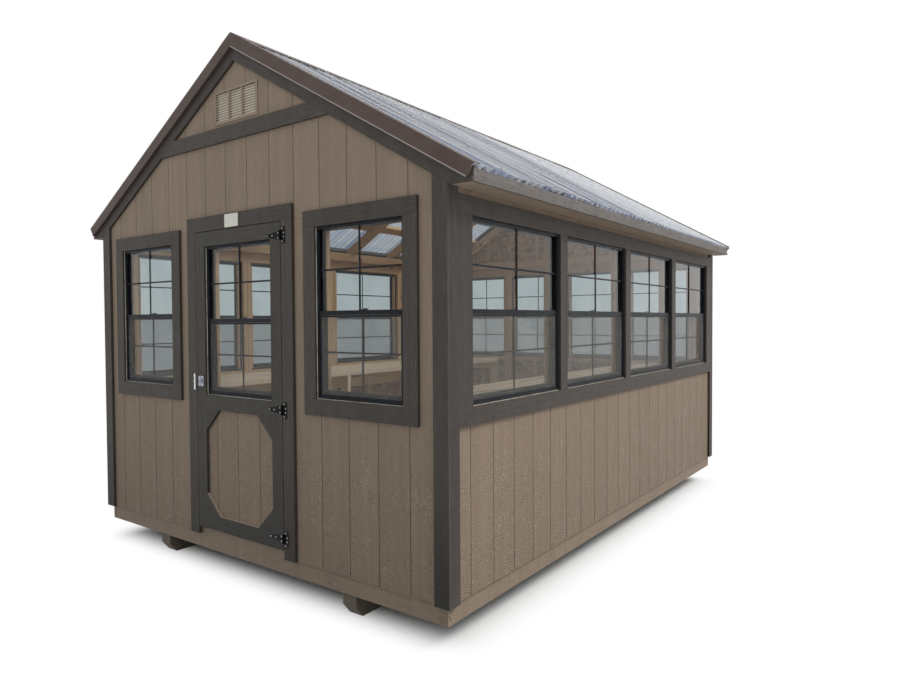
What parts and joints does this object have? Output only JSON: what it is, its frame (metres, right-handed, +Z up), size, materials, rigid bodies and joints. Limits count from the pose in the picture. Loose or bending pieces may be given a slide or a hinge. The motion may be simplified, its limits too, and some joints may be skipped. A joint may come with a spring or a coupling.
{
  "type": "greenhouse",
  "caption": "Timber-framed greenhouse on skids with grooved siding, a clear corrugated gable roof, single-hung windows on every wall, slatted benches and a hinged door with a T-handle.",
  "frame": {"origin": "on the ground under the middle of the floor", "axes": "+X across the gable to the right seen from the front, +Y from the front wall to the back wall, +Z up"},
  "size_m": [3.4306, 4.394, 3.2429],
  "materials": {
    "skid_timber": "weathered treated timber",
    "pine": "bare sawn pine",
    "plywood": "bare plywood",
    "siding_paint": "satin paint on embossed wood siding",
    "trim_paint": "satin paint on trim boards",
    "window_black": "satin black",
    "window_glass": "clear glass",
    "glazed_sash": "satin black sash with a clear pane",
    "insect_net": "fine dark mesh",
    "clear_roofing": "clear corrugated polycarbonate",
    "brown_metal": "brown coated steel",
    "hinge_black": "black powder coat",
    "steel": "zinc plated steel",
    "chrome": "polished chrome",
    "cream_plate": "blank cream plate"
  },
  "bodies": {
    "building": {"skids": "skid_timber", "floor_joists": "pine", "side_wall_frames": "pine", "end_wall_frames": "pine", "rafters": "pine", "collar_ties": "pine", "roof_purlins": "pine", "bench_slats": "pine", "bench_frames": "pine", "door_stops": "pine", "floor_deck": "plywood", "ridge_gussets": "plywood", "floor_rim": "siding_paint", "side_siding": "siding_paint", "front_siding": "siding_paint", "back_siding": "siding_paint", "eave_soffits": "siding_paint", "gable_vents": "siding_paint", "corner_boards": "trim_paint", "window_trim": "trim_paint", "door_casing": "trim_paint", "gable_trim": "trim_paint", "eave_fascia": "trim_paint", "window_frames": "window_black", "window_bars": "window_black", "screen_frames": "window_black", "upper_panes": "window_glass", "screen_nets": "insect_net", "roof_sheets": "clear_roofing", "ridge_cap": "brown_metal", "rake_flashing": "brown_metal", "hinge_plates": "hinge_black", "hinge_pins": "steel", "name_plate": "cream_plate"},
    "door": {"door_panel": "siding_paint", "door_boards": "trim_paint", "door_frame": "pine", "door_window_frame": "window_black", "door_window_bars": "window_black", "door_upper_pane": "window_glass", "door_screen_net": "insect_net", "hinge_straps": "hinge_black", "handle_base": "chrome"},
    "handle": {"door_handle": "chrome", "latch_cam": "steel"},
    "door_sash": {"door_lower_sash": "glazed_sash"},
    "sash_front_1": {"lower_sash_front_1": "glazed_sash"},
    "sash_front_2": {"lower_sash_front_2": "glazed_sash"},
    "sash_back_1": {"lower_sash_back_1": "glazed_sash"},
    "sash_back_2": {"lower_sash_back_2": "glazed_sash"},
    "sash_back_3": {"lower_sash_back_3": "glazed_sash"},
    "sash_back_4": {"lower_sash_back_4": "glazed_sash"},
    "sash_right_1": {"lower_sash_right_1": "glazed_sash"},
    "sash_right_2": {"lower_sash_right_2": "glazed_sash"},
    "sash_right_3": {"lower_sash_right_3": "glazed_sash"},
    "sash_right_4": {"lower_sash_right_4": "glazed_sash"},
    "sash_left_1": {"lower_sash_left_1": "glazed_sash"},
    "sash_left_2": {"lower_sash_left_2": "glazed_sash"},
    "sash_left_3": {"lower_sash_left_3": "glazed_sash"},
    "sash_left_4": {"lower_sash_left_4": "glazed_sash"}
  },
  "joints": [
    {"name": "door_swing", "type": "hinge", "parent": "building", "child": "door", "pos_m": [0.405, -2.1706, 1.188], "axis": [0, 0, 1], "range_deg": [0, 165]},
    {"name": "handle_turn", "type": "hinge", "parent": "door", "child": "handle", "pos_m": [-0.3585, -2.1636, 1.187], "axis": [0, 1, 0], "range_deg": [0, 90]},
    {"name": "door_sash_slide", "type": "slide", "parent": "door", "child": "door_sash", "axis": [0, 0, 1], "range_m": [0, 0.4]},
    {"name": "sash_front_1_slide", "type": "slide", "parent": "building", "child": "sash_front_1", "axis": [0, 0, 1], "range_m": [0, 0.4]},
    {"name": "sash_front_2_slide", "type": "slide", "parent": "building", "child": "sash_front_2", "axis": [0, 0, 1], "range_m": [0, 0.4]},
    {"name": "sash_back_1_slide", "type": "slide", "parent": "building", "child": "sash_back_1", "axis": [0, 0, 1], "range_m": [0, 0.4]},
    {"name": "sash_back_2_slide", "type": "slide", "parent": "building", "child": "sash_back_2", "axis": [0, 0, 1], "range_m": [0, 0.4]},
    {"name": "sash_back_3_slide", "type": "slide", "parent": "building", "child": "sash_back_3", "axis": [0, 0, 1], "range_m": [0, 0.4]},
    {"name": "sash_back_4_slide", "type": "slide", "parent": "building", "child": "sash_back_4", "axis": [0, 0, 1], "range_m": [0, 0.4]},
    {"name": "sash_right_1_slide", "type": "slide", "parent": "building", "child": "sash_right_1", "axis": [0, 0, 1], "range_m": [0, 0.4]},
    {"name": "sash_right_2_slide", "type": "slide", "parent": "building", "child": "sash_right_2", "axis": [0, 0, 1], "range_m": [0, 0.4]},
    {"name": "sash_right_3_slide", "type": "slide", "parent": "building", "child": "sash_right_3", "axis": [0, 0, 1], "range_m": [0, 0.4]},
    {"name": "sash_right_4_slide", "type": "slide", "parent": "building", "child": "sash_right_4", "axis": [0, 0, 1], "range_m": [0, 0.4]},
    {"name": "sash_left_1_slide", "type": "slide", "parent": "building", "child": "sash_left_1", "axis": [0, 0, 1], "range_m": [0, 0.4]},
    {"name": "sash_left_2_slide", "type": "slide", "parent": "building", "child": "sash_left_2", "axis": [0, 0, 1], "range_m": [0, 0.4]},
    {"name": "sash_left_3_slide", "type": "slide", "parent": "building", "child": "sash_left_3", "axis": [0, 0, 1], "range_m": [0, 0.4]},
    {"name": "sash_left_4_slide", "type": "slide", "parent": "building", "child": "sash_left_4", "axis": [0, 0, 1], "range_m": [0, 0.4]}
  ]
}
